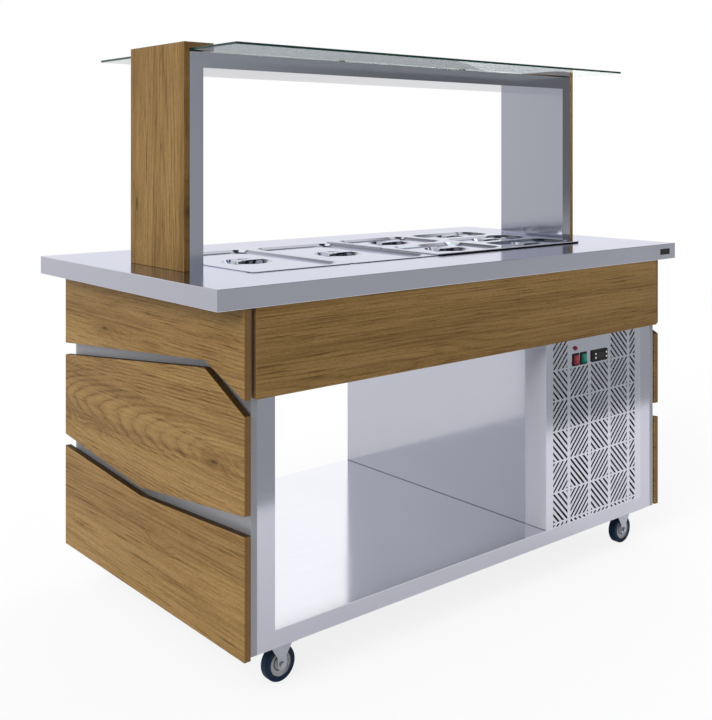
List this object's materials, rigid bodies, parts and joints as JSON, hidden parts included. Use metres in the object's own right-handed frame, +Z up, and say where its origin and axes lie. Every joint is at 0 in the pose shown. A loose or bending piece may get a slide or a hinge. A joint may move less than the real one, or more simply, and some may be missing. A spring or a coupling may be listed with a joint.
{
  "type": "mobile salad bar",
  "caption": "Mobile refrigerated salad bar: a steel worktop with a lidded pan well under a glass gantry, on an oak-clad steel cabinet with a storage bay, grilled machine bay and castors.",
  "frame": {"origin": "on the floor, under the middle of the worktop", "axes": "+X along the length towards the machine compartment, +Y from the front with the controls to the back, +Z up"},
  "size_m": [1.77, 0.941, 1.529],
  "materials": {
    "polished_steel": "polished stainless steel sheet, close to a mirror",
    "satin_steel": "satin stainless steel sheet",
    "pan_steel": "bright stamped stainless steel",
    "oak": "oiled oak, medium brown, satin",
    "glass": "clear tempered float glass with dark green edges",
    "foam": "rigid insulation foam",
    "rubber": "black rubber",
    "black_plastic": "fine-textured black plastic",
    "black_enamel": "black enamel",
    "fins": "fin pack, coated dark grey",
    "fan_alloy": "pressed aluminium",
    "copper": "drawn copper tube",
    "red_lens": "clear red plastic lens",
    "red_plastic": "red plastic",
    "green_plastic": "green plastic",
    "key_plastic": "light grey plastic",
    "badge_plastic": "plain dark plate",
    "zinc_steel": "zinc-plated pressed steel",
    "castor_rubber": "blue-black rubber tyre on a grey plastic core"
  },
  "bodies": {
    "cabinet": {"worktop": "polished_steel", "well_tank": "satin_steel", "well_insulation": "foam", "pan_bars": "satin_steel", "posts": "satin_steel", "top_beam": "polished_steel", "post_boards": "oak", "cap_boards": "oak", "glass_shelf": "glass", "glass_pads": "rubber", "aprons": "oak", "top_side_panels": "oak", "middle_side_panels": "oak", "lower_side_panels": "oak", "carcass_frame": "satin_steel", "side_casings": "satin_steel", "deck": "satin_steel", "partition": "satin_steel", "well_cover": "satin_steel", "front_grille": "satin_steel", "rear_grille": "satin_steel", "cord_gland": "black_plastic", "compressor": "black_enamel", "condenser": "fins", "fan_motor": "black_enamel", "refrigerant_lines": "copper", "pilot_lamp": "red_lens", "switch_housings": "black_plastic", "thermostat": "black_plastic", "badge_plate": "badge_plastic", "castor_plates": "zinc_steel"},
    "fan_blades": {"fan_blades": "fan_alloy"},
    "red_rocker": {"red_rocker": "red_plastic"},
    "green_rocker": {"green_rocker": "green_plastic"},
    "set_key": {"set_key": "key_plastic"},
    "defrost_key": {"defrost_key": "key_plastic"},
    "up_key": {"up_key": "key_plastic"},
    "down_key": {"down_key": "key_plastic"},
    "front_left_fork": {"front_left_fork": "zinc_steel"},
    "front_right_fork": {"front_right_fork": "zinc_steel"},
    "rear_left_fork": {"rear_left_fork": "zinc_steel"},
    "rear_right_fork": {"rear_right_fork": "zinc_steel"},
    "front_left_wheel": {"front_left_wheel": "castor_rubber"},
    "front_right_wheel": {"front_right_wheel": "castor_rubber"},
    "rear_left_wheel": {"rear_left_wheel": "castor_rubber"},
    "rear_right_wheel": {"rear_right_wheel": "castor_rubber"},
    "full_pan_left": {"full_pan_left": "pan_steel"},
    "full_pan_right": {"full_pan_right": "pan_steel"},
    "half_pan_front": {"half_pan_front": "pan_steel"},
    "half_pan_rear": {"half_pan_rear": "pan_steel"},
    "third_pan_front": {"third_pan_front": "pan_steel"},
    "third_pan_middle": {"third_pan_middle": "pan_steel"},
    "third_pan_rear": {"third_pan_rear": "pan_steel"},
    "full_lid_left": {"full_lid_left": "pan_steel"},
    "full_lid_right": {"full_lid_right": "pan_steel"},
    "half_lid_front": {"half_lid_front": "pan_steel"},
    "half_lid_rear": {"half_lid_rear": "pan_steel"},
    "third_lid_front": {"third_lid_front": "pan_steel"},
    "third_lid_middle": {"third_lid_middle": "pan_steel"},
    "third_lid_rear": {"third_lid_rear": "pan_steel"}
  },
  "joints": [
    {"name": "front_left_swivel", "type": "hinge", "parent": "cabinet", "child": "front_left_fork", "pos_m": [-0.6935, -0.4025, 0.095], "axis": [0, 0, 1], "continuous": true},
    {"name": "front_left_wheel_spin", "type": "hinge", "parent": "front_left_fork", "child": "front_left_wheel", "pos_m": [-0.6735, -0.4025, 0.043], "axis": [0, 1, 0], "continuous": true},
    {"name": "front_right_swivel", "type": "hinge", "parent": "cabinet", "child": "front_right_fork", "pos_m": [0.6935, -0.4025, 0.095], "axis": [0, 0, 1], "continuous": true},
    {"name": "front_right_wheel_spin", "type": "hinge", "parent": "front_right_fork", "child": "front_right_wheel", "pos_m": [0.6735, -0.4025, 0.043], "axis": [0, 1, 0], "continuous": true},
    {"name": "rear_left_swivel", "type": "hinge", "parent": "cabinet", "child": "rear_left_fork", "pos_m": [-0.6935, 0.4025, 0.095], "axis": [0, 0, 1], "continuous": true},
    {"name": "rear_left_wheel_spin", "type": "hinge", "parent": "rear_left_fork", "child": "rear_left_wheel", "pos_m": [-0.6735, 0.4025, 0.043], "axis": [0, 1, 0], "continuous": true},
    {"name": "rear_right_swivel", "type": "hinge", "parent": "cabinet", "child": "rear_right_fork", "pos_m": [0.6935, 0.4025, 0.095], "axis": [0, 0, 1], "continuous": true},
    {"name": "rear_right_wheel_spin", "type": "hinge", "parent": "rear_right_fork", "child": "rear_right_wheel", "pos_m": [0.6735, 0.4025, 0.043], "axis": [0, 1, 0], "continuous": true},
    {"name": "fan_spin", "type": "hinge", "parent": "cabinet", "child": "fan_blades", "pos_m": [0.48325, -0.26, 0.338], "axis": [0, 1, 0], "continuous": true},
    {"name": "red_rocker_tilt", "type": "hinge", "parent": "cabinet", "child": "red_rocker", "pos_m": [0.387, -0.454, 0.628], "axis": [1, 0, 0], "range_deg": [0, 14]},
    {"name": "green_rocker_tilt", "type": "hinge", "parent": "cabinet", "child": "green_rocker", "pos_m": [0.424, -0.454, 0.628], "axis": [1, 0, 0], "range_deg": [0, 14]},
    {"name": "set_key_press", "type": "slide", "parent": "cabinet", "child": "set_key", "axis": [0, 1, 0], "range_m": [0, 0.001], "stiffness_N_per_m": 400, "springref_m": -0.0005},
    {"name": "defrost_key_press", "type": "slide", "parent": "cabinet", "child": "defrost_key", "axis": [0, 1, 0], "range_m": [0, 0.001], "stiffness_N_per_m": 400, "springref_m": -0.0005},
    {"name": "up_key_press", "type": "slide", "parent": "cabinet", "child": "up_key", "axis": [0, 1, 0], "range_m": [0, 0.001], "stiffness_N_per_m": 400, "springref_m": -0.0005},
    {"name": "down_key_press", "type": "slide", "parent": "cabinet", "child": "down_key", "axis": [0, 1, 0], "range_m": [0, 0.001], "stiffness_N_per_m": 400, "springref_m": -0.0005},
    {"name": "full_pan_left_lift", "type": "slide", "parent": "cabinet", "child": "full_pan_left", "axis": [0, 0, 1], "range_m": [0, 0.17]},
    {"name": "full_lid_left_lift", "type": "slide", "parent": "full_pan_left", "child": "full_lid_left", "axis": [0, 0, 1], "range_m": [0, 0.2]},
    {"name": "full_pan_right_lift", "type": "slide", "parent": "cabinet", "child": "full_pan_right", "axis": [0, 0, 1], "range_m": [0, 0.17]},
    {"name": "full_lid_right_lift", "type": "slide", "parent": "full_pan_right", "child": "full_lid_right", "axis": [0, 0, 1], "range_m": [0, 0.2]},
    {"name": "half_pan_front_lift", "type": "slide", "parent": "cabinet", "child": "half_pan_front", "axis": [0, 0, 1], "range_m": [0, 0.17]},
    {"name": "half_lid_front_lift", "type": "slide", "parent": "half_pan_front", "child": "half_lid_front", "axis": [0, 0, 1], "range_m": [0, 0.2]},
    {"name": "half_pan_rear_lift", "type": "slide", "parent": "cabinet", "child": "half_pan_rear", "axis": [0, 0, 1], "range_m": [0, 0.17]},
    {"name": "half_lid_rear_lift", "type": "slide", "parent": "half_pan_rear", "child": "half_lid_rear", "axis": [0, 0, 1], "range_m": [0, 0.2]},
    {"name": "third_pan_front_lift", "type": "slide", "parent": "cabinet", "child": "third_pan_front", "axis": [0, 0, 1], "range_m": [0, 0.17]},
    {"name": "third_lid_front_lift", "type": "slide", "parent": "third_pan_front", "child": "third_lid_front", "axis": [0, 0, 1], "range_m": [0, 0.2]},
    {"name": "third_pan_middle_lift", "type": "slide", "parent": "cabinet", "child": "third_pan_middle", "axis": [0, 0, 1], "range_m": [0, 0.17]},
    {"name": "third_lid_middle_lift", "type": "slide", "parent": "third_pan_middle", "child": "third_lid_middle", "axis": [0, 0, 1], "range_m": [0, 0.2]},
    {"name": "third_pan_rear_lift", "type": "slide", "parent": "cabinet", "child": "third_pan_rear", "axis": [0, 0, 1], "range_m": [0, 0.17]},
    {"name": "third_lid_rear_lift", "type": "slide", "parent": "third_pan_rear", "child": "third_lid_rear", "axis": [0, 0, 1], "range_m": [0, 0.2]}
  ]
}
